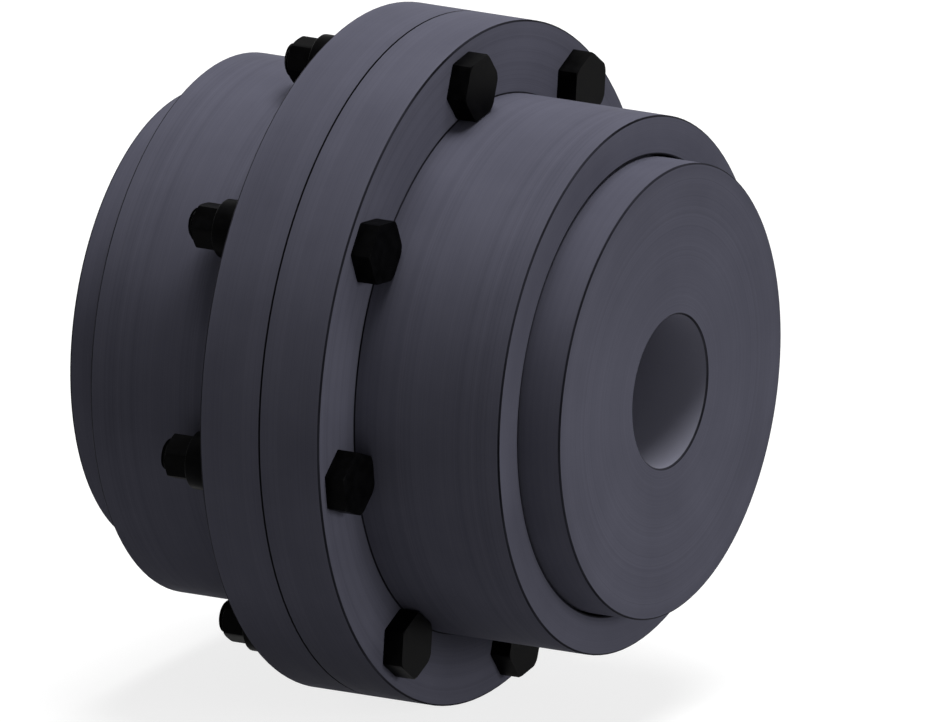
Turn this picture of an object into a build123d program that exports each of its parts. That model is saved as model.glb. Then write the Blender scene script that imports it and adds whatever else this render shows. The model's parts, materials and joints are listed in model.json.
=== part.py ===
from build123d import *

import os
from math import acos, ceil, cos, pi, radians, sin, sqrt, tan

# A flanged gear coupling. Two hubs with crowned teeth sit inside two toothed sleeves, which are bolted
# together flange to flange. The shaft axis is X, with the origin on it in the plane where the flanges meet.
# Z is up. The right half is on +X, where the bolt heads are. Sizes are in millimetres.

# Hubs
bore_diameter = 54.0
hub_diameter = 160.0
hub_gap = 5.5  # between the inner faces of the two hubs
hub_reach_past_sleeve = 16.05
bore_chamfer = 0.5
edge_break = 0.4

# Teeth
gear_module = 3.5
pressure_angle = 20.0
hub_addendum = 3.15
hub_dedendum = 3.5
hub_tooth_width = 34.0
nose_length = 4.0  # plain hub between its inner face and its teeth
tooth_root_step = 0.2  # the least height of the tooth roots above the plain hub
flank_clearance = 0.25  # between a hub tooth and a sleeve tooth, on each flank, at mid width
crown_relief = 0.3  # how much more each flank of a hub tooth gives way at the tooth's ends
tip_clearance = 0.85
root_clearance = 0.9
end_float = 3.0  # length of sleeve tooth past each end of a hub tooth

# Sleeves
sleeve_wall = 6.5  # outside the roots of the sleeve teeth
chamber_relief = 1.0  # depth of the grease chamber below the tooth roots
chamber_length = 18.25
end_wall_length = 18.7
flange_thickness = 23.5
rim_margin = 2.4  # flange left outside a bolt head's corners
tilt_limit = 0.75  # how far each hub tilts in its sleeve, in degrees
tilt_clearance = 0.2  # left between hub and sleeve at full tilt

# Seal rings
hub_seal_cord = 5.4  # thickness of a round rubber ring
flange_seal_cord = 3.0
groove_play = 0.25  # groove left on each side of its ring
groove_clearance = 0.05  # between a hub seal and the floor of its groove

# Bolts, washers and nuts
bolt_count = 8
first_bolt_angle = 8.6  # from straight up, turning from Z away from Y
bolt_diameter = 12.0
bolt_hole_clearance = 0.1
head_shoulder = 4.5  # how far a flat of the head stands out past the shank
head_height = 7.5
head_to_sleeve = 0.5
washer_width = 4.4
washer_thickness = 9.0
nut_wall = 1.5  # thinnest wall of the nut, at the middle of a flat
nut_height = 9.5
bolt_tail = 2.3  # length of bolt past the nut
bolt_tail_chamfer = 0.5
hex_chamfer_angle = 30.0
head_face_share = 1.08  # diameter that the end face is turned to, as a share of the width across flats
nut_face_share = 0.95

# Lubrication plugs
plug_diameter = 10.0
plug_clearance = 0.05
plug_inset = 0.3  # depth of the plug's ends below the sleeve's outer and inner faces
plug_socket_flats = 5.0
plug_socket_floor = 2.0
plug_angles = {"right": 30.0, "left": -60.0}  # from +Y towards +Z

# Gear geometry
bore_radius = bore_diameter / 2
hub_radius = hub_diameter / 2
tooth_count = ceil((hub_diameter + 2 * (hub_dedendum + tooth_root_step)) / gear_module)
pitch_radius = tooth_count * gear_module / 2
base_radius = pitch_radius * cos(radians(pressure_angle))
tooth_pitch = 2 * pi / tooth_count
hub_tip_radius = pitch_radius + hub_addendum
hub_root_radius = pitch_radius - hub_dedendum
sleeve_tip_radius = hub_root_radius + root_clearance
sleeve_root_radius = hub_tip_radius + tip_clearance

# Places along the axis, on the right half
hub_inner = hub_gap / 2
teeth_start = hub_inner + nose_length
teeth_end = teeth_start + hub_tooth_width
mesh_centre = (teeth_start + teeth_end) / 2
sleeve_teeth_start = teeth_start - end_float
sleeve_teeth_end = teeth_end + end_float
chamber_end = sleeve_teeth_end + chamber_length
sleeve_end = chamber_end + end_wall_length
seal_middle = chamber_end + end_wall_length / 2
hub_outer = sleeve_end + hub_reach_past_sleeve
chamber_middle = (sleeve_teeth_end + chamber_end) / 2

# Radii
tilt_slope = tan(radians(tilt_limit))
end_bore_radius = hub_radius + (sleeve_end - mesh_centre) * tilt_slope + tilt_clearance
hub_seal_inner = hub_radius + (seal_middle - mesh_centre) * tilt_slope + tilt_clearance
hub_seal_outer = hub_seal_inner + hub_seal_cord
chamber_radius = sleeve_root_radius + chamber_relief
sleeve_radius = sleeve_root_radius + sleeve_wall

# Bolting
bolt_hole_radius = bolt_diameter / 2 + bolt_hole_clearance
head_flats = bolt_diameter + 2 * head_shoulder
washer_diameter = bolt_diameter + 2 * washer_width
nut_flats = bolt_diameter + 2 * nut_wall
bolt_circle_radius = sleeve_radius + head_to_sleeve + max(head_flats, washer_diameter) / 2
corner_per_flat = 1 / cos(pi / 6)  # a hexagon's width across corners, for each width across flats
head_corner_radius = head_flats / 2 * corner_per_flat
flange_radius = bolt_circle_radius + max(head_corner_radius, washer_diameter / 2) + rim_margin
flange_seal_radius = (chamber_radius + bolt_circle_radius - bolt_hole_radius) / 2


def turned(outline):
    """Solid turned about X from a closed outline of (x, radius) points."""
    return revolve(make_face(Polyline(*outline, close=True)), axis=Axis.X)


def cord_ring(x, radius, cord):
    """Ring about X of a round cord, whose middle lies at x and at a radius."""
    return revolve(Pos(x, radius) * Circle(cord / 2), axis=Axis.X)


def to_left(piece):
    """The same piece on the left half."""
    return mirror(piece, about=Plane.YZ)


def involute(angle):
    return tan(angle) - angle


def half_tooth(radius, thinning):
    """Half the angle of an involute tooth at a radius, in radians, with each flank thinned by a length."""
    angle_there = acos(min(1.0, base_radius / radius))
    full = tooth_pitch / 4 + involute(radians(pressure_angle)) - involute(angle_there)
    return full - thinning / radius


def toothed_face(x, root, tip, thinning):
    """Section across X of a solid with all its teeth.

    Each flank is an arc through three points of its involute.
    """
    middle = (root + tip) / 2

    def point(radius, angle):
        return (x, radius * cos(angle), radius * sin(angle))

    def flank(centre, side):
        return [point(r, centre + side * half_tooth(r, thinning)) for r in (root, middle, tip)]

    edges = []
    for n in range(tooth_count):
        centre = n * tooth_pitch
        rising, falling = flank(centre, -1), flank(centre, 1)
        next_root = flank(centre + tooth_pitch, -1)[0]
        edges.append(ThreePointArc(*rising))
        edges.append(ThreePointArc(rising[-1], point(tip, centre), falling[-1]))
        edges.append(ThreePointArc(*reversed(falling)))
        edges.append(ThreePointArc(falling[0], point(root, centre + tooth_pitch / 2), next_root))
    return make_face(edges)


def crowned_teeth():
    """Tooth ring of the right hub: its tips lie on a sphere, and its flanks fall away towards both ends."""
    sections = []
    for offset in (-hub_tooth_width / 2, 0, hub_tooth_width / 2):
        tip = sqrt(hub_tip_radius**2 - offset**2)
        relief = crown_relief * (2 * offset / hub_tooth_width) ** 2
        sections.append(toothed_face(mesh_centre + offset, hub_root_radius, tip, flank_clearance + relief))
    return loft(sections)


def hub():
    """Right hub: a plain turned barrel with its tooth ring near the inner end, bored right through."""
    barrel = turned(
        [
            (hub_inner, 0),
            (hub_inner, hub_radius - edge_break),
            (hub_inner + edge_break, hub_radius),
            (hub_outer - edge_break, hub_radius),
            (hub_outer, hub_radius - edge_break),
            (hub_outer, 0),
        ]
    )
    mouth = bore_radius + bore_chamfer
    bore = turned(
        [
            (hub_inner, 0),
            (hub_inner, mouth),
            (hub_inner + bore_chamfer, bore_radius),
            (hub_outer - bore_chamfer, bore_radius),
            (hub_outer, mouth),
            (hub_outer, 0),
        ]
    )
    return barrel + crowned_teeth() - bore


def tooth_spaces():
    """The hollow that the sleeve's internal teeth leave, straight from end to end."""
    section = toothed_face(sleeve_teeth_start, sleeve_tip_radius, sleeve_root_radius, thinning=0)
    return extrude(section, amount=sleeve_teeth_end - sleeve_teeth_start, dir=(1, 0, 0))


def on_bolt_circle(n):
    """Place of bolt n: its own X along the shaft axis, its Z pointing out from it."""
    return Rot(X=first_bolt_angle + n * 360 / bolt_count) * Pos(0, 0, bolt_circle_radius)


def along_x(x_from, x_to, radius):
    return Pos((x_from + x_to) / 2, 0, 0) * Rot(Y=90) * Cylinder(radius, x_to - x_from)


def plug_place(side):
    """Place of a plug on the right half: its Z points out from the axis through the grease chamber."""
    return Pos(chamber_middle, 0, 0) * Rot(X=plug_angles[side] - 90)


def sleeve(side):
    """Sleeve of the right half: flange, toothed zone, grease chamber and end wall with its seal groove."""
    blank = turned(
        [
            (0, end_bore_radius),
            (0, flange_radius - edge_break),
            (edge_break, flange_radius),
            (flange_thickness - edge_break, flange_radius),
            (flange_thickness, flange_radius - edge_break),
            (flange_thickness, sleeve_radius),
            (sleeve_end - edge_break, sleeve_radius),
            (sleeve_end, sleeve_radius - edge_break),
            (sleeve_end, end_bore_radius),
        ]
    )
    recess = along_x(0, sleeve_teeth_start, chamber_radius)
    chamber = along_x(sleeve_teeth_end, chamber_end, chamber_radius)
    half_groove = hub_seal_cord / 2 + groove_play
    groove = along_x(seal_middle - half_groove, seal_middle + half_groove, hub_seal_outer + groove_clearance)
    body = blank - recess - tooth_spaces() - chamber - groove
    for n in range(bolt_count):
        body -= on_bolt_circle(n) * along_x(0, flange_thickness, bolt_hole_radius)
    plug_hole = Cylinder(
        plug_diameter / 2 + plug_clearance,
        sleeve_radius,
        align=(Align.CENTER, Align.CENTER, Align.MIN),
    )
    return body - plug_place(side) * plug_hole


def flange_groove():
    """Groove for the flange seal in the joint face of the left sleeve, as deep as the seal's cord."""
    half_width = flange_seal_cord / 2 + groove_play
    outer = along_x(-flange_seal_cord, 0, flange_seal_radius + half_width)
    return outer - along_x(-flange_seal_cord, 0, flange_seal_radius - half_width)


def flange_seal():
    return cord_ring(-flange_seal_cord / 2, flange_seal_radius, flange_seal_cord)


def hub_seal():
    return cord_ring(seal_middle, (hub_seal_inner + hub_seal_outer) / 2, hub_seal_cord)


def lube_plug(side):
    """Socket plug, its top just below the sleeve's surface and its end just short of the chamber."""
    length = sleeve_radius - chamber_radius - 2 * plug_inset
    plug = Cylinder(plug_diameter / 2, length, align=(Align.CENTER, Align.CENTER, Align.MIN))
    socket_outline = RegularPolygon(plug_socket_flats / 2, 6, major_radius=False)
    socket = extrude(socket_outline, length - plug_socket_floor)
    plug -= Pos(0, 0, plug_socket_floor) * socket
    return plug_place(side) * Pos(0, 0, chamber_radius + plug_inset) * plug


def hexagon(flats, x_seat, x_end, face_share):
    """Hexagon along X, one flat towards Z, its corners turned off at the end away from its seat."""
    corner = flats / 2 * corner_per_flat
    face_radius = flats / 2 * face_share
    drop = (corner - face_radius) * tan(radians(hex_chamfer_angle))
    x_corner = x_end - drop if x_end > x_seat else x_end + drop
    seat = Plane.YZ.offset(x_seat) * RegularPolygon(flats / 2, 6, major_radius=False)
    prism = extrude(seat, x_end - x_seat)
    outline = [(x_seat, 0), (x_seat, corner), (x_corner, corner), (x_end, face_radius), (x_end, 0)]
    return prism & turned(outline)


def bolt(n):
    """Hex bolt, head against the right flange, its end past the nut on the left."""
    under_head = flange_thickness
    nut_face = -flange_thickness - washer_thickness - nut_height
    end = nut_face - bolt_tail
    radius = bolt_diameter / 2
    shank = turned(
        [
            (under_head, 0),
            (under_head, radius),
            (end + bolt_tail_chamfer, radius),
            (end, radius - bolt_tail_chamfer),
            (end, 0),
        ]
    )
    head = hexagon(head_flats, under_head, under_head + head_height, head_face_share)
    return on_bolt_circle(n) * (shank + head)


def washer(n):
    x_to = -flange_thickness
    x_from = x_to - washer_thickness
    blank = turned(
        [
            (x_from, 0),
            (x_from, washer_diameter / 2 - edge_break),
            (x_from + edge_break, washer_diameter / 2),
            (x_to - edge_break, washer_diameter / 2),
            (x_to, washer_diameter / 2 - edge_break),
            (x_to, 0),
        ]
    )
    return on_bolt_circle(n) * (blank - along_x(x_from, x_to, bolt_hole_radius))


def nut(n):
    x_seat = -flange_thickness - washer_thickness
    x_end = x_seat - nut_height
    blank = hexagon(nut_flats, x_seat, x_end, nut_face_share)
    return on_bolt_circle(n) * (blank - along_x(x_end, x_seat, bolt_hole_radius))


pieces = {
    "right_hub": hub(),
    "left_hub": to_left(hub()),
    "right_sleeve": sleeve("right"),
    "left_sleeve": to_left(sleeve("left")) - flange_groove(),
    "right_hub_seal": hub_seal(),
    "left_hub_seal": to_left(hub_seal()),
    "flange_seal": flange_seal(),
    "right_lube_plug": lube_plug("right"),
    "left_lube_plug": to_left(lube_plug("left")),
}
for n in range(bolt_count):
    pieces[f"bolt_{n + 1}"] = bolt(n)
    pieces[f"washer_{n + 1}"] = washer(n)
    pieces[f"nut_{n + 1}"] = nut(n)

os.makedirs("parts", exist_ok=True)
for name, piece in pieces.items():
    export_step(piece, f"parts/{name}.step")
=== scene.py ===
"""The looks of a flanged gear coupling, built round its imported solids.

The shaft axis is X, with the origin on it in the plane where the flanges meet, and Z is up. The bolt heads
are on the +X side and the nuts on the -X side. Lengths are in metres.
"""

from __future__ import annotations

import json
import logging
import math
from dataclasses import dataclass
from enum import Enum
from typing import Any, Callable, Mapping, Sequence, Union

import bmesh
import bpy
from mathutils import Matrix, Vector


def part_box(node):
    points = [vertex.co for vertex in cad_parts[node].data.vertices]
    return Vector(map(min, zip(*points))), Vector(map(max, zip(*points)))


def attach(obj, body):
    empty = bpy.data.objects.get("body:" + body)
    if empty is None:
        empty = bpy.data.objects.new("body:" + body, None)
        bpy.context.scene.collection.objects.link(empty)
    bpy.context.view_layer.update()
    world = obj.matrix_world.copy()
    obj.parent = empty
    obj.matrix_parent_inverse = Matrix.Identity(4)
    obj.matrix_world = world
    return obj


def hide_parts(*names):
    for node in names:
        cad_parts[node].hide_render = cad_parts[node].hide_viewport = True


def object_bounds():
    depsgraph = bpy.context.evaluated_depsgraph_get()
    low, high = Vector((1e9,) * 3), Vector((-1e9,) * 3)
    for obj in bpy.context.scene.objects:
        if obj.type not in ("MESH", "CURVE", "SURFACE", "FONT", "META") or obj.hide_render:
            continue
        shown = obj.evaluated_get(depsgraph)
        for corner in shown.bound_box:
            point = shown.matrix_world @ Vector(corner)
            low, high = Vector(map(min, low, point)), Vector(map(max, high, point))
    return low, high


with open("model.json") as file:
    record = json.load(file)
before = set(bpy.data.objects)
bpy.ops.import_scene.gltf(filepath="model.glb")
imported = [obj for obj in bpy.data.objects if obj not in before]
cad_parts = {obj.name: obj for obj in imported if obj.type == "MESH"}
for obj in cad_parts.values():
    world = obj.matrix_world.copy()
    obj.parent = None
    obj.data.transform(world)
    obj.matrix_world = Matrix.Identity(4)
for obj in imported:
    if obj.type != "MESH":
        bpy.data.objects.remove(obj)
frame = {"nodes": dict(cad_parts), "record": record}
CAD_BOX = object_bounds()

log = logging.getLogger("coupling")

Colour = tuple[float, float, float]
Number = int | float
Operand = Union["Wire", int, float]
Measure = float | Callable[[float], float]  # a number, or a function of the angle from Z
Ring = tuple[Callable[[float], float], Callable[[float], float]]  # place along X and radius, by angle
MM = 0.001
SHARP_ANGLE = math.radians(28)  # faces that meet at more than this keep a sharp edge
NEAR_AXIS = 0.001 * MM  # a point that is nearer to the axis than this counts as this far off it
MERGE_DISTANCE = 0.0001 * MM
WHITE = (1.0, 1.0, 1.0, 1.0)


class Body(Enum):
    """The rigid bodies of the coupling."""

    LEFT_HUB = "left_hub"
    SLEEVES = "sleeves"
    RIGHT_HUB = "right_hub"


class Slot(Enum):
    """The record's material slots."""

    HUB = "hub_steel"
    SLEEVE = "sleeve_steel"
    SEAL = "seal_rubber"
    PLUG = "plug_steel"
    BOLT = "bolt_steel"
    WASHER = "washer_steel"
    NUT = "nut_steel"


class Pattern(Enum):
    """The parts of a vector that noise reads."""

    SOLID = "3D"
    FLAT = "2D"  # only the first two


class Wire:
    """An output socket that takes part in arithmetic: each operator adds the Math node that works it out."""

    def __init__(self, tree: Tree, socket: bpy.types.NodeSocket) -> None:
        """Keeps the socket and the tree that it is in."""
        self.tree = tree
        self.socket = socket

    def __add__(self, other: Operand) -> Wire:
        """The sum."""
        return self.tree.math("ADD", self, other)

    def __radd__(self, other: Number) -> Wire:
        """The sum, with the number first."""
        return self.tree.math("ADD", other, self)

    def __sub__(self, other: Operand) -> Wire:
        """The difference."""
        return self.tree.math("SUBTRACT", self, other)

    def __rsub__(self, other: Number) -> Wire:
        """The difference, with the number first."""
        return self.tree.math("SUBTRACT", other, self)

    def __mul__(self, other: Operand) -> Wire:
        """The product."""
        return self.tree.math("MULTIPLY", self, other)

    def __rmul__(self, other: Number) -> Wire:
        """The product, with the number first."""
        return self.tree.math("MULTIPLY", other, self)

    def __truediv__(self, other: Operand) -> Wire:
        """The quotient."""
        return self.tree.math("DIVIDE", self, other)

    def __rtruediv__(self, other: Number) -> Wire:
        """The quotient, with the number first."""
        return self.tree.math("DIVIDE", other, self)

    def __neg__(self) -> Wire:
        """The value with its sign turned."""
        return self * -1.0

    def __abs__(self) -> Wire:
        """The value without its sign."""
        return self.tree.math("ABSOLUTE", self)

    def root(self) -> Wire:
        """The square root."""
        return self.tree.math("SQRT", self)

    def at_least(self, other: Operand) -> Wire:
        """The larger of the two."""
        return self.tree.math("MAXIMUM", self, other)

    def at_most(self, other: Operand) -> Wire:
        """The smaller of the two."""
        return self.tree.math("MINIMUM", self, other)

    def step(self, low: Number, high: Number) -> Wire:
        """A smooth step from 0 at low to 1 at high."""
        sockets = {"Value": self, "From Min": low, "From Max": high}
        return self.tree.add("ShaderNodeMapRange", {"interpolation_type": "SMOOTHSTEP"}, sockets)[0]


class Outputs:
    """The outputs of a node, each as a Wire."""

    def __init__(self, tree: Tree, node: bpy.types.Node) -> None:
        """Keeps the node and the tree that it is in."""
        self.tree = tree
        self.node = node

    def __getitem__(self, key: str | int) -> Wire:
        """The output of that name or place."""
        return Wire(self.tree, self.node.outputs[key])


class Tree:
    """A node tree that is built from Python expressions."""

    def __init__(self, nodes: bpy.types.NodeTree) -> None:
        """Keeps the tree that the nodes go into."""
        self.nodes = nodes

    def add(
        self,
        kind: str,
        settings: Mapping[str, Any] | None = None,
        sockets: Mapping[str | int, Any] | None = None,
    ) -> Outputs:
        """Adds a node, sets it, and then feeds its sockets.

        Args:
            kind: The node's type.
            settings: Its properties.
            sockets: A value or a Wire for each input, by name or place.

        Returns:
            The node's outputs.
        """
        node = self.nodes.nodes.new(kind)
        for key, value in (settings or {}).items():
            setattr(node, key, value)
        for key, value in (sockets or {}).items():
            if isinstance(value, Wire):
                self.nodes.links.new(value.socket, node.inputs[key])
            else:
                node.inputs[key].default_value = value
        return Outputs(self, node)

    def math(self, operation: str, *operands: Operand) -> Wire:
        """Adds a Math node.

        Args:
            operation: What the node does.
            operands: Its one, two or three operands.

        Returns:
            The node's value.
        """
        return self.add("ShaderNodeMath", {"operation": operation}, dict(enumerate(operands)))[0]

    def split(self, vector: Wire) -> tuple[Wire, Wire, Wire]:
        """The three parts of a vector."""
        parts = self.add("ShaderNodeSeparateXYZ", None, {0: vector})
        return parts[0], parts[1], parts[2]

    def join(self, x: Operand, y: Operand, z: Operand) -> Wire:
        """A vector from its three parts."""
        return self.add("ShaderNodeCombineXYZ", None, {0: x, 1: y, 2: z})[0]


class ShaderTree(Tree):
    """The node tree of a material."""

    def __init__(self, name: str) -> None:
        """Makes an empty material.

        Args:
            name: The material's name.
        """
        self.material = bpy.data.materials.new(name)
        self.material.use_nodes = True
        self.material.node_tree.nodes.clear()
        super().__init__(self.material.node_tree)

    def place(self) -> Wire:
        """Where a point is on the object, which is in the coupling's own frame."""
        return self.add("ShaderNodeTexCoord")["Object"]

    def noise(
        self,
        vector: Wire,
        scale: float,
        layers: float = 2.0,
        pattern: Pattern = Pattern.SOLID,
    ) -> Wire:
        """Smooth noise about 0.5.

        Args:
            vector: Where it is read.
            scale: Its waves to the metre.
            layers: How many finer layers it has.
            pattern: The parts of the vector that it reads.

        Returns:
            The noise.
        """
        sockets = {"Vector": vector, "Scale": scale, "Detail": layers}
        return self.add("ShaderNodeTexNoise", {"noise_dimensions": pattern.value}, sockets)[0]

    def blend(self, factor: Wire, first: Wire | Colour, second: Wire | Colour) -> Wire:
        """A colour that goes from the first to the second."""
        ends = [c if isinstance(c, Wire) else (*c, 1.0) for c in (first, second)]
        return self.add("ShaderNodeMix", {"data_type": "RGBA"}, {0: factor, 6: ends[0], 7: ends[1]})[2]

    def bump(self, height: Wire, distance: float) -> Wire:
        """A normal that follows a height, of which 1 stands for a distance in metres."""
        return self.add("ShaderNodeBump", None, {"Height": height, "Distance": distance})[0]

    def surface(self, shader: Wire) -> None:
        """Makes a shader the material's surface."""
        self.add("ShaderNodeOutputMaterial", None, {"Surface": shader})

    def principled(self, **sockets: Any) -> None:
        """Ends the material in a Principled shader.

        Args:
            sockets: Its inputs, with spaces in their names written as underscores.
        """
        named = {key.replace("_", " "): value for key, value in sockets.items()}
        self.surface(self.add("ShaderNodeBsdfPrincipled", None, named)[0])


@dataclass(frozen=True)
class TurnedSteel:
    """Turned steel under a thin slate-grey phosphate coat, with thin dark bands painted along its turned
    edges.

    The marks of the lathe are rings about the shaft axis on faces and cylinders alike, because their pattern
    reads only the distance along the axis and the radius.
    """

    name: str
    # Middles of the turned edges, each as its distance from the joint plane and its radius.
    edges: tuple[tuple[float, float], ...]
    joint_radius: float = 0.0  # outer radius of a joint in the plane at X = 0, where there is one
    bore_radius: float = 0.0  # radius of a bore that is painted paler, as painted light against the shade inside it, where there is one
    dark: Colour = (0.074, 0.074, 0.099)
    pale: Colour = (0.108, 0.108, 0.142)
    # Painted light: a paler colour that lifts the shade inside the bore.
    bore_painted_light: Colour = (0.25, 0.25, 0.31)
    # The colour of the thin dark bands painted along the turned edges.
    edge_band: Colour = (0.007, 0.007, 0.009)
    # Painted shade: the colour that darkens the groove between the flanges as if it lay in shadow.
    joint_shade: Colour = (0.006, 0.006, 0.007)
    metallic: float = 0.03
    specular: float = 0.007
    roughness: float = 0.62
    ring_marks: tuple[float, float, float] = (2600.0, 780.0, 240.0)  # fine, middle and broad, to the metre
    ring_tones: tuple[float, float, float] = (0.5, 0.45, 0.45)
    ring_heights: tuple[float, float, float] = (0.4, 0.8, 0.8)
    ring_layers: float = 2.0
    ring_roughness: float = 0.15
    cloud: float = 28.0
    cloud_layers: float = 4.0
    cloud_tone: float = 1.2
    cloud_roughness: float = 0.25
    grain: float = 2400.0
    grain_height: float = 0.3
    mark_depth: float = 0.03 * MM
    edge_width: float = 0.55 * MM
    edge_core: float = 0.6  # share of the edges' width that is darkest
    edge_cover: float = 0.9
    edge_patchiness: float = 0.6
    # Width and depth of the band of painted shade in the joint's groove.
    joint_width: float = 0.5 * MM
    joint_depth: float = 1.5 * MM

    def build(self) -> bpy.types.Material:
        """Makes the material.

        Returns:
            The material.
        """
        tree = ShaderTree(self.name)
        place = tree.place()
        x, y, z = tree.split(place)
        along = abs(x)
        radius = (y * y + z * z).root()
        turned = tree.join(along, radius, 0.0)
        rings = [
            tree.noise(turned, marks, self.ring_layers, Pattern.FLAT) - 0.5
            for marks in self.ring_marks
        ]
        cloud = tree.noise(place, self.cloud, self.cloud_layers) - 0.5
        grain = tree.noise(place, self.grain) - 0.5
        tone = 0.5 + cloud * self.cloud_tone
        height = grain * self.grain_height
        for marks, mark_tone, mark_height in zip(rings, self.ring_tones, self.ring_heights):
            tone = tone + marks * mark_tone
            height = height + marks * mark_height
        colour = tree.blend(tone, self.dark, self.pale)
        # Painted light: the bore is painted paler than the rest to make up for the shade inside it.
        if self.bore_radius:
            in_bore = 1.0 - radius.step(self.bore_radius, self.bore_radius + self.edge_width)
            colour = tree.blend(in_bore, colour, self.bore_painted_light)
        # Thin dark bands painted along the turned edges.
        at_edges = self.at_edges(along, radius) * (self.edge_cover + cloud * self.edge_patchiness)
        colour = tree.blend(at_edges, colour, self.edge_band)
        # Painted shade in the groove where the flanges meet.
        if self.joint_radius:
            colour = tree.blend(self.shaded_groove(along, radius), colour, self.joint_shade)
        tree.principled(
            Base_Color=colour,
            Metallic=self.metallic,
            Roughness=self.roughness + rings[-1] * self.ring_roughness + cloud * self.cloud_roughness,
            Specular_IOR_Level=self.specular,
            Normal=tree.bump(height, self.mark_depth),
        )
        return tree.material

    def at_edges(self, along: Wire, radius: Wire) -> Wire:
        """How near a point is to a turned edge, from 0 to 1.

        Args:
            along: The point's distance from the joint plane.
            radius: Its distance from the axis.

        Returns:
            1 on an edge, and 0 past the edges' width.
        """
        away: Wire | None = None
        for edge_along, edge_radius in self.edges:
            off_along = along - edge_along
            off_radius = radius - edge_radius
            distance = (off_along * off_along + off_radius * off_radius).root()
            away = distance if away is None else away.at_most(distance)
        return 1.0 - away.step(self.edge_core * self.edge_width, self.edge_width)

    def shaded_groove(self, along: Wire, radius: Wire) -> Wire:
        """How deep a point lies in the joint's groove, where shade is painted, from 0 to 1.

        Args:
            along: The point's distance from the joint plane.
            radius: Its distance from the axis.

        Returns:
            1 in the groove, and 0 away from it.
        """
        near_plane = 1.0 - along.step(self.joint_width / 2, self.joint_width)
        depth, rim = self.joint_depth, self.joint_radius
        near_rim = radius.step(rim - depth, rim - depth / 2)
        return near_plane * near_rim


@dataclass(frozen=True)
class BlackOxide:
    """Hot-blackened steel of bolts, nuts, washers and plugs: near black, satin, with a faint mottle."""

    name: str
    dark: Colour = (0.0010, 0.0010, 0.0011)
    pale: Colour = (0.0026, 0.0026, 0.0029)
    metallic: float = 0.03
    specular: float = 0.012
    roughness: float = 0.42
    mottle: float = 260.0
    mottle_layers: float = 4.0
    mottle_span: tuple[float, float] = (0.3, 0.75)  # noise at which it is darkest and palest
    mottle_roughness: float = 0.3
    grain: float = 3200.0
    grain_depth: float = 0.006 * MM

    def build(self) -> bpy.types.Material:
        """Makes the material.

        Returns:
            The material.
        """
        tree = ShaderTree(self.name)
        place = tree.place()
        mottle = tree.noise(place, self.mottle, self.mottle_layers)
        grain = tree.noise(place, self.grain)
        tree.principled(
            Base_Color=tree.blend(mottle.step(*self.mottle_span), self.dark, self.pale),
            Metallic=self.metallic,
            Roughness=self.roughness + (mottle - 0.5) * self.mottle_roughness,
            Specular_IOR_Level=self.specular,
            Normal=tree.bump(grain, self.grain_depth),
        )
        return tree.material


@dataclass(frozen=True)
class SealRubber:
    """Moulded rubber of the seal rings: black and dull, with a faint bloom."""

    name: str
    dark: Colour = (0.012, 0.012, 0.012)
    bloom: Colour = (0.026, 0.026, 0.027)
    roughness: float = 0.62
    cloud: float = 120.0
    cloud_layers: float = 3.0
    bloom_span: tuple[float, float] = (0.35, 0.8)  # noise at which the bloom sets in and is full
    cloud_roughness: float = 0.2
    grain: float = 4000.0
    grain_depth: float = 0.01 * MM

    def build(self) -> bpy.types.Material:
        """Makes the material.

        Returns:
            The material.
        """
        tree = ShaderTree(self.name)
        place = tree.place()
        cloud = tree.noise(place, self.cloud, self.cloud_layers)
        tree.principled(
            Base_Color=tree.blend(cloud.step(*self.bloom_span), self.dark, self.bloom),
            Roughness=self.roughness + (cloud - 0.5) * self.cloud_roughness,
            Normal=tree.bump(tree.noise(place, self.grain), self.grain_depth),
        )
        return tree.material


class GeometryTree(Tree):
    """A Geometry Nodes group with named inputs."""

    def __init__(self, name: str) -> None:
        """Makes a group that takes and gives a geometry.

        Args:
            name: The group's name.
        """
        self.group = bpy.data.node_groups.new(name, "GeometryNodeTree")
        super().__init__(self.group)
        self.entry = self.group.nodes.new("NodeGroupInput")
        self.geometry = self.input("Geometry", "NodeSocketGeometry")
        self.group.interface.new_socket("Geometry", in_out="OUTPUT", socket_type="NodeSocketGeometry")

    def input(self, name: str, kind: str = "NodeSocketFloat") -> Wire:
        """Adds a named input.

        Args:
            name: The input's name.
            kind: Its socket type.

        Returns:
            Its value inside the group.
        """
        self.group.interface.new_socket(name, in_out="INPUT", socket_type=kind)
        return Wire(self, self.entry.outputs[name])

    def finish(self, geometry: Wire) -> None:
        """Ends the group in real geometry with its material on it.

        Args:
            geometry: What the group has made.
        """
        material = self.input("Material", "NodeSocketMaterial")
        real = self.add("GeometryNodeRealizeInstances", None, {"Geometry": geometry})[0]
        coated = self.add("GeometryNodeSetMaterial", None, {"Geometry": real, "Material": material})[0]
        self.add("NodeGroupOutput", None, {0: coated})

    def grow(self, name: str, mesh: bpy.types.Mesh, values: Mapping[str, Any]) -> bpy.types.Object:
        """Runs the group on a mesh.

        Args:
            name: The name of the new piece.
            mesh: What the group starts from.
            values: The group's inputs, by name.

        Returns:
            An object with the result as a plain mesh and no modifier.
        """
        carrier = bpy.data.objects.new(f"{name}_carrier", mesh)
        bpy.context.scene.collection.objects.link(carrier)
        modifier = carrier.modifiers.new("grow", "NODES")
        modifier.node_group = self.group
        for item in self.group.interface.items_tree:
            if item.in_out == "INPUT" and item.name in values:
                modifier[item.identifier] = values[item.name]
        depsgraph = bpy.context.evaluated_depsgraph_get()
        result = bpy.data.meshes.new_from_object(carrier.evaluated_get(depsgraph), depsgraph=depsgraph)
        bpy.data.objects.remove(carrier)
        result.name = name
        piece = bpy.data.objects.new(name, result)
        bpy.context.scene.collection.objects.link(piece)
        return piece


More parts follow.
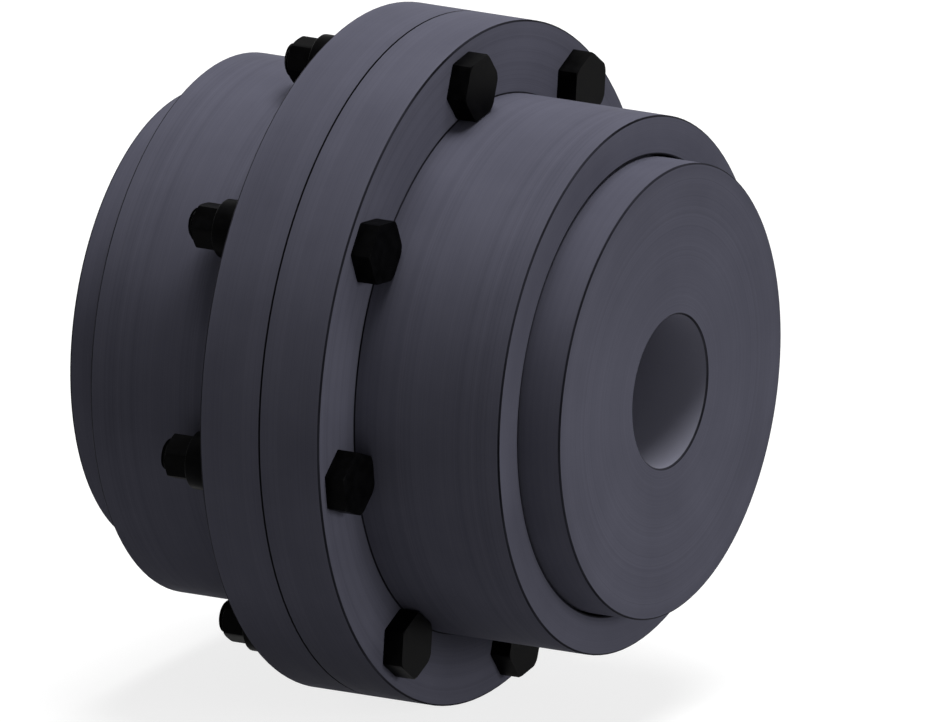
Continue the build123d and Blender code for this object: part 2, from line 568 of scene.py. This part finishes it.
def thread_tree(flat_crest: float, flat_root: float) -> GeometryTree:
    """The group that cuts a thread into a bar along X by drawing its surface in along a helix.

    Args:
        flat_crest: The share of the pitch that stays flat at the thread's crest.
        flat_root: The share that is flat at its root.

    Returns:
        The group. Its inputs are the bar's radius, the thread's pitch and depth, and where it starts.
    """
    tree = GeometryTree("cut_thread")
    bar_radius = tree.input("Bar radius")
    pitch = tree.input("Pitch")
    depth = tree.input("Depth")
    start = tree.input("Start")
    x, y, z = tree.split(tree.add("GeometryNodeInputPosition")[0])
    radius = (y * y + z * z).root()
    turn = tree.math("ARCTAN2", y, z) / math.tau
    from_crest = abs(tree.math("FRACT", x / pitch - turn) - 0.5) * 2.0
    groove = ((from_crest - flat_crest) / (1.0 - flat_crest - flat_root)).at_least(0.0).at_most(1.0)
    run_in = ((start - x) / pitch).at_least(0.0).at_most(1.0)
    above_groove = (radius - bar_radius + depth * groove).at_least(0.0)
    share = 1.0 - above_groove * run_in / radius.at_least(NEAR_AXIS)
    sockets = {"Geometry": tree.geometry, "Position": tree.join(x, y * share, z * share)}
    tree.finish(tree.add("GeometryNodeSetPosition", None, sockets)[0])
    return tree


def bolt_circle_tree() -> GeometryTree:
    """The group that sets copies of a piece on the bolt circle.

    Returns:
        The group. Its inputs are the piece, their number, the circle's radius and the first one's angle.
    """
    tree = GeometryTree("bolt_circle")
    piece = tree.input("Piece", "NodeSocketObject")
    count = tree.input("Count", "NodeSocketInt")
    circle_radius = tree.input("Circle radius")
    first_angle = tree.input("First angle")
    angle = first_angle + tree.add("GeometryNodeInputIndex")[0] * math.tau / count
    side = -tree.math("SINE", angle) * circle_radius
    up = tree.math("COSINE", angle) * circle_radius
    points = tree.add("GeometryNodePoints", None, {"Count": count, "Position": tree.join(0.0, side, up)})[0]
    shape = tree.add("GeometryNodeObjectInfo", None, {"Object": piece})["Geometry"]
    sockets = {"Points": points, "Instance": shape, "Rotation": tree.join(angle, 0.0, 0.0)}
    tree.finish(tree.add("GeometryNodeInstanceOnPoints", None, sockets)[0])
    return tree


def ring(x: Measure, radius: Measure) -> Ring:
    """A ring about X.

    Args:
        x: Its place along X.
        radius: Its radius.

    Returns:
        Both as functions of the angle from Z.
    """
    place = x if callable(x) else lambda angle: x
    size = radius if callable(radius) else lambda angle: radius
    return place, size


def lathe(name: str, rings: Sequence[Ring], closed: bool, segments: int = 72) -> bpy.types.Mesh:
    """Joins rings about X into a closed surface.

    Args:
        name: The mesh's name.
        rings: The rings, from one end to the other, or once round the section.
        closed: True joins the last ring to the first, and False closes both ends to a pole on the axis.
        segments: The number of points in a ring, a multiple of 12 so that a hexagon's corners are in it.

    Returns:
        The mesh, with its faces pointing out.
    """
    mesh = bmesh.new()
    rows = []
    for place, size in rings:
        row = []
        for step in range(segments):
            angle = math.tau * step / segments
            radius = size(angle)
            point = (place(angle), -radius * math.sin(angle), radius * math.cos(angle))
            row.append(mesh.verts.new(point))
        rows.append(row)
    pairs = list(zip(rows, rows[1:]))
    if closed:
        pairs.append((rows[-1], rows[0]))
    for first, second in pairs:
        for step in range(segments):
            after = (step + 1) % segments
            mesh.faces.new((first[step], first[after], second[after], second[step]))
    if not closed:
        for row, (place, size) in ((rows[0], rings[0]), (rows[-1], rings[-1])):
            pole = mesh.verts.new((place(0.0), 0.0, 0.0))
            for step in range(segments):
                mesh.faces.new((row[step], row[(step + 1) % segments], pole))
    bmesh.ops.remove_doubles(mesh, verts=mesh.verts, dist=MERGE_DISTANCE)
    bmesh.ops.recalc_face_normals(mesh, faces=mesh.faces)
    made = bpy.data.meshes.new(name)
    mesh.to_mesh(made)
    mesh.free()
    return made


@dataclass(frozen=True)
class Hexagon:
    """The outline of a hexagon with one flat towards Z, its corners turned off at one end."""

    flats: float
    face_share: float  # diameter that the end face is turned to, as a share of the width across flats
    corner_round: float = 0.15 * MM
    turned_angle: float = math.radians(30)

    def reach(self, angle: float) -> float:
        """The outline's radius.

        Args:
            angle: The angle from Z at which it is taken.

        Returns:
            The radius, with the corners rounded a little.
        """
        sixth = math.tau / 6
        off_flat = (angle + sixth / 2) % sixth - sixth / 2
        corner = self.flats / 2 / math.cos(sixth / 2) - self.corner_round
        return min(self.flats / 2 / math.cos(off_flat), corner)

    def face(self, angle: float) -> float:
        """The end face's radius at an angle from Z."""
        return min(self.reach(angle), self.flats / 2 * self.face_share)

    def drop(self, angle: float) -> float:
        """How far the turned-off corner lies below the end face, at an angle from Z."""
        return (self.reach(angle) - self.face(angle)) * math.tan(self.turned_angle)


def finish_piece(piece: bpy.types.Object, body: Body, slot: Slot, nodes: Sequence[str]) -> None:
    """Shades a new piece, sets it on its body's empty and hides the solids that it stands for.

    Args:
        piece: The piece, with its place in its mesh.
        body: The body that it moves with.
        slot: Not used.
        nodes: The solids that it stands for.
    """
    piece.data.shade_smooth()
    piece.data.set_sharp_from_angle(angle=SHARP_ANGLE)
    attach(piece, body.value)
    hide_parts(*nodes)
    log.info("%s: %d faces on %s", piece.name, len(piece.data.polygons), body.value)


def dress(node: str, material: bpy.types.Material, slot: Slot) -> None:
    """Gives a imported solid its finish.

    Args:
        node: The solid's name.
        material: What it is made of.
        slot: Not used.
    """
    piece = frame["nodes"][node]
    piece.data.materials.clear()
    piece.data.materials.append(material)
    log.info("%s: %s", node, material.name)


@dataclass
class Bolting:
    """The bolts through both flanges, with a thick washer and a hexagon nut on each."""

    bar_radius: float = 6.0 * MM
    thread_pitch: float = 1.75 * MM
    thread_depth: float = 1.0 * MM
    thread_crest: float = 0.12  # share of the pitch that is flat
    thread_root: float = 0.20
    thread_inside_nut: float = 2.2 * MM
    rings_to_a_pitch: int = 12
    head: Hexagon = Hexagon(flats=21.0 * MM, face_share=1.08)
    nut: Hexagon = Hexagon(flats=15.0 * MM, face_share=0.95)
    hole_radius: float = 6.1 * MM
    nut_countersink: float = 0.5 * MM
    tail_chamfer: float = 0.5 * MM
    tail_steps: int = 3
    washer_round: float = 0.5 * MM
    washer_steps: int = 4
    washer_segments: int = 96

    def __post_init__(self) -> None:
        """Reads the places of the pieces from the frame."""
        bolt_low, bolt_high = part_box("bolt_1")
        washer_low, washer_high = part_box("washer_1")
        self.head_top = bolt_high.x
        self.tail_end = bolt_low.x
        self.washer_in = washer_high.x
        self.washer_out = washer_low.x
        self.flange = -washer_high.x
        self.nut_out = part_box("nut_1")[0].x
        self.washer_radius = (washer_high.z - washer_low.z) / 2
        middle = (bolt_low + bolt_high) / 2
        self.circle_radius = math.hypot(middle.y, middle.z)
        self.first_angle = math.atan2(-middle.y, middle.z)
        self.count = sum(node.startswith("bolt_") for node in frame["nodes"])
        self.circle = bolt_circle_tree()

    def build(self) -> None:
        """Makes the bolts, washers and nuts."""
        self.pattern("bolts", self.bolt_mesh(), BlackOxide("black_bolt"), Slot.BOLT)
        self.pattern("washers", self.washer_mesh(), BlackOxide("black_washer"), Slot.WASHER)
        self.pattern("nuts", self.nut_mesh(), BlackOxide("black_nut"), Slot.NUT)

    def pattern(self, name: str, mesh: bpy.types.Mesh, finish: BlackOxide, slot: Slot) -> None:
        """Sets copies of a mesh on the bolt circle as one piece.

        Args:
            name: The piece's name, which is the plural of the solids' that it stands for.
            mesh: One copy, with its axis on X.
            finish: What it is made of.
            slot: The record's slot for it.
        """
        model = bpy.data.objects.new(f"{name}_model", mesh)
        bpy.context.scene.collection.objects.link(model)
        values = {
            "Piece": model,
            "Count": self.count,
            "Circle radius": self.circle_radius,
            "First angle": self.first_angle,
            "Material": finish.build(),
        }
        piece = self.circle.grow(name, bpy.data.meshes.new(f"{name}_start"), values)
        bpy.data.objects.remove(model)
        nodes = [f"{name.removesuffix('s')}_{number + 1}" for number in range(self.count)]
        finish_piece(piece, Body.SLEEVES, slot, nodes)

    def bolt_mesh(self) -> bpy.types.Mesh:
        """One bolt.

        Returns:
            Its mesh, from the top of the head to the threaded end.
        """
        head, radius = self.head, self.bar_radius
        inner = head.flats / 4  # keeps the faces round the pole small
        thread_start = self.nut_out + self.thread_inside_nut
        tip = self.tail_end + self.tail_chamfer
        steps = math.ceil((thread_start - tip) / self.thread_pitch * self.rings_to_a_pitch)
        rings = [
            ring(self.head_top, inner),
            ring(self.head_top, head.face),
            ring(lambda angle: self.head_top - head.drop(angle), head.reach),
            ring(self.flange, head.reach),
            ring(self.flange, radius),
            ring(self.washer_in, radius),
        ]
        rings += [ring(thread_start + (tip - thread_start) * n / steps, radius) for n in range(steps + 1)]
        chamfer = [self.tail_chamfer * n / self.tail_steps for n in range(1, self.tail_steps + 1)]
        rings += [ring(tip - inset, radius - inset) for inset in chamfer]
        blank = lathe("bolt_blank", rings, closed=False)
        values = {
            "Bar radius": radius,
            "Pitch": self.thread_pitch,
            "Depth": self.thread_depth,
            "Start": thread_start,
        }
        threaded = thread_tree(self.thread_crest, self.thread_root).grow("bolt_threaded", blank, values)
        mesh = threaded.data
        bpy.data.objects.remove(threaded)
        return mesh

    def washer_mesh(self) -> bpy.types.Mesh:
        """One thick washer.

        Returns:
            Its mesh, with rounded edges.
        """
        rings = [ring(self.washer_in, self.hole_radius), ring(self.washer_out, self.hole_radius)]
        for end, sign in ((self.washer_out, 1), (self.washer_in, -1)):
            corner = []
            for step in range(self.washer_steps + 1):
                angle = math.radians(90) * step / self.washer_steps
                in_from_face = self.washer_round * (1 - math.sin(angle))
                in_from_rim = self.washer_round * (1 - math.cos(angle))
                corner.append(ring(end + sign * in_from_rim, self.washer_radius - in_from_face))
            rings += corner if sign > 0 else corner[::-1]
        return lathe("washer", rings, closed=True, segments=self.washer_segments)

    def nut_mesh(self) -> bpy.types.Mesh:
        """One nut.

        Returns:
            Its mesh, with the outer corners turned off and the hole countersunk.
        """
        nut, sink = self.nut, self.nut_countersink
        rings = [
            ring(self.nut_out + sink, self.hole_radius),
            ring(self.nut_out, self.hole_radius + sink),
            ring(self.nut_out, nut.face),
            ring(lambda angle: self.nut_out + nut.drop(angle), nut.reach),
            ring(self.washer_out, nut.reach),
            ring(self.washer_out, self.hole_radius),
        ]
        return lathe("nut", rings, closed=True)


@dataclass
class Hubs:
    """The two toothed hubs."""

    radius: float = 80.0 * MM
    edge_break: float = 0.4 * MM
    bore_chamfer: float = 0.5 * MM

    def build(self) -> None:
        """Gives both hubs their finish."""
        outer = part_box("right_hub")[1].x
        bore_radius = frame["record"]["mounts"][0]["dims"]["r_mm"] * MM
        half_break, half_chamfer = self.edge_break / 2, self.bore_chamfer / 2
        edges = (
            (outer - half_break, self.radius - half_break),
            (outer - half_chamfer, bore_radius + half_chamfer),
        )
        material = TurnedSteel("turned_hub", edges, bore_radius=bore_radius).build()
        for side in ("right", "left"):
            dress(f"{side}_hub", material, Slot.HUB)


@dataclass
class Sleeves:
    """The two flanged sleeves, with their seals and lubrication plugs."""

    radius: float = 94.5 * MM
    end_bore_radius: float = 80.95 * MM
    edge_break: float = 0.4 * MM

    def build(self) -> None:
        """Gives the sleeves, seals and plugs their finish."""
        outer, flange_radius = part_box("right_sleeve")[1].xz
        flange = -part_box("washer_1")[1].x
        half_break = self.edge_break / 2
        edges = (
            (outer - half_break, self.radius - half_break),
            (outer, self.end_bore_radius),
            (flange - half_break, flange_radius - half_break),
            (flange, self.radius),
        )
        steel = TurnedSteel("turned_sleeve", edges, joint_radius=flange_radius).build()
        rubber = SealRubber("moulded_rubber").build()
        black = BlackOxide("black_plug").build()
        for side in ("right", "left"):
            dress(f"{side}_sleeve", steel, Slot.SLEEVE)
            dress(f"{side}_hub_seal", rubber, Slot.SEAL)
            dress(f"{side}_lube_plug", black, Slot.PLUG)
        dress("flange_seal", rubber, Slot.SEAL)


def grey(tone: float) -> tuple[float, float, float, float]:
    """An opaque grey."""
    return tone, tone, tone, 1.0


@dataclass(frozen=True)
class Softbox:
    """A round lamp that faces the coupling."""

    name: str
    direction: tuple[float, float, float]
    power: float
    diameter: float = 2.0
    distance: float = 3.0

    def build(self) -> None:
        """Makes the lamp."""
        data = bpy.data.lights.new(self.name, "AREA")
        data.shape = "DISK"
        data.size = self.diameter
        data.energy = self.power
        place = Vector(self.direction).normalized() * self.distance
        lamp = bpy.data.objects.new(self.name, data)
        lamp.matrix_world = Matrix.Translation(place) @ place.to_track_quat("Z", "Y").to_matrix().to_4x4()
        bpy.context.scene.collection.objects.link(lamp)


@dataclass
class Studio:
    """The camera, the lamps, the floor and the white background."""

    azimuth: float = 28.7
    elevation: float = 16.37
    pixels_to_a_millimetre: float = 2.8868
    image_size: tuple[int, int] = (926, 722)
    hub_face_pixel: tuple[float, float] = (670.4, 391.6)
    camera_distance: float = 1.5
    view_depth: float = 20.0
    floor_radius: float = 4.0
    floor_segments: int = 96
    floor_gap: float = 0.2 * MM
    floor_shade: float = 0.30  # tone that takes the shadow, where the floor is seen
    floor_glow: float = 0.8  # light that lifts it to white there
    floor_bounce: float = 0.32  # tone that lights the coupling from below
    ambient: float = 0.15
    lamps: tuple[Softbox, ...] = (
        Softbox("key", (0.06, 0.15, 0.94), 105.0),
        Softbox("fill", (0.97, -0.04, 0.14), 33.5, diameter=1.0),
        Softbox("back", (-0.85, 0.50, 0.02), 29.0),
    )

    def build(self) -> None:
        """Makes all of it."""
        self.camera()
        for lamp in self.lamps:
            lamp.build()
        self.world()
        self.floor()
        bpy.context.scene.view_settings.view_transform = "Standard"

    def axes(self) -> tuple[Vector, Vector, Vector]:
        """The camera's directions.

        Returns:
            Its right, up and backward directions.
        """
        a, e = math.radians(self.azimuth), math.radians(self.elevation)
        back = Vector((math.sin(a) * math.cos(e), -math.cos(a) * math.cos(e), math.sin(e)))
        right = Vector((math.cos(a), math.sin(a), 0.0))
        return right, back.cross(right), back

    def camera(self) -> None:
        """The camera, which looks without perspective, as the photograph's does."""
        right, up, back = self.axes()
        scale = MM / self.pixels_to_a_millimetre
        width, height = self.image_size
        across = (self.hub_face_pixel[0] - width / 2) * scale
        down = (self.hub_face_pixel[1] - height / 2) * scale
        hub_face = Vector((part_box("right_hub")[1].x, 0.0, 0.0))
        aim = hub_face - right * across + up * down
        data = bpy.data.cameras.new("camera")
        data.type = "ORTHO"
        data.ortho_scale = width * scale
        data.clip_end = self.view_depth
        camera = bpy.data.objects.new("camera", data)
        turn = Matrix((right, up, back)).transposed().to_4x4()
        camera.matrix_world = Matrix.Translation(aim + back * self.camera_distance) @ turn
        bpy.context.scene.collection.objects.link(camera)
        bpy.context.scene.camera = camera

    def in_view(self, path: Outputs) -> Wire:
        """1 for a ray that shows what it meets: the camera's own, a reflection or one through glass."""
        return path["Is Camera Ray"].at_least(path["Is Glossy Ray"]).at_least(path["Is Transmission Ray"])

    def world(self) -> None:
        """A soft even light, white where the camera or a reflection sees it."""
        world = bpy.data.worlds.new("studio")
        world.use_nodes = True
        world.node_tree.nodes.clear()
        tree = Tree(world.node_tree)
        strength = self.in_view(tree.add("ShaderNodeLightPath")) * (1.0 - self.ambient) + self.ambient
        white = tree.add("ShaderNodeBackground", None, {"Color": WHITE, "Strength": strength})[0]
        tree.add("ShaderNodeOutputWorld", None, {"Surface": white})
        bpy.context.scene.world = world

    def floor(self) -> None:
        """A pale floor just under the flange, white to the camera outside the coupling's shadow."""
        mesh = bmesh.new()
        level = CAD_BOX[0].z - self.floor_gap
        bmesh.ops.create_circle(mesh, cap_ends=True, segments=self.floor_segments, radius=self.floor_radius)
        bmesh.ops.translate(mesh, verts=mesh.verts, vec=(0.0, 0.0, level))
        data = bpy.data.meshes.new("floor")
        mesh.to_mesh(data)
        mesh.free()
        floor = bpy.data.objects.new("floor", data)
        bpy.context.scene.collection.objects.link(floor)
        tree = ShaderTree("pale_floor")
        path = tree.add("ShaderNodeLightPath")
        shaded = tree.add("ShaderNodeBsdfDiffuse", None, {"Color": grey(self.floor_shade)})[0]
        lit = tree.add("ShaderNodeEmission", None, {"Color": WHITE, "Strength": self.floor_glow})[0]
        seen = tree.add("ShaderNodeAddShader", None, {0: shaded, 1: lit})[0]
        dull = tree.add("ShaderNodeBsdfDiffuse", None, {"Color": grey(self.floor_bounce)})[0]
        tree.surface(tree.add("ShaderNodeMixShader", None, {0: self.in_view(path), 1: dull, 2: seen})[0])
        data.materials.append(tree.material)


def main() -> None:
    """Builds the studio and dresses every piece."""
    logging.basicConfig(level=logging.INFO, format="%(message)s")
    Studio().build()
    Hubs().build()
    Sleeves().build()
    Bolting().build()


if __name__ == "__main__":
    main()
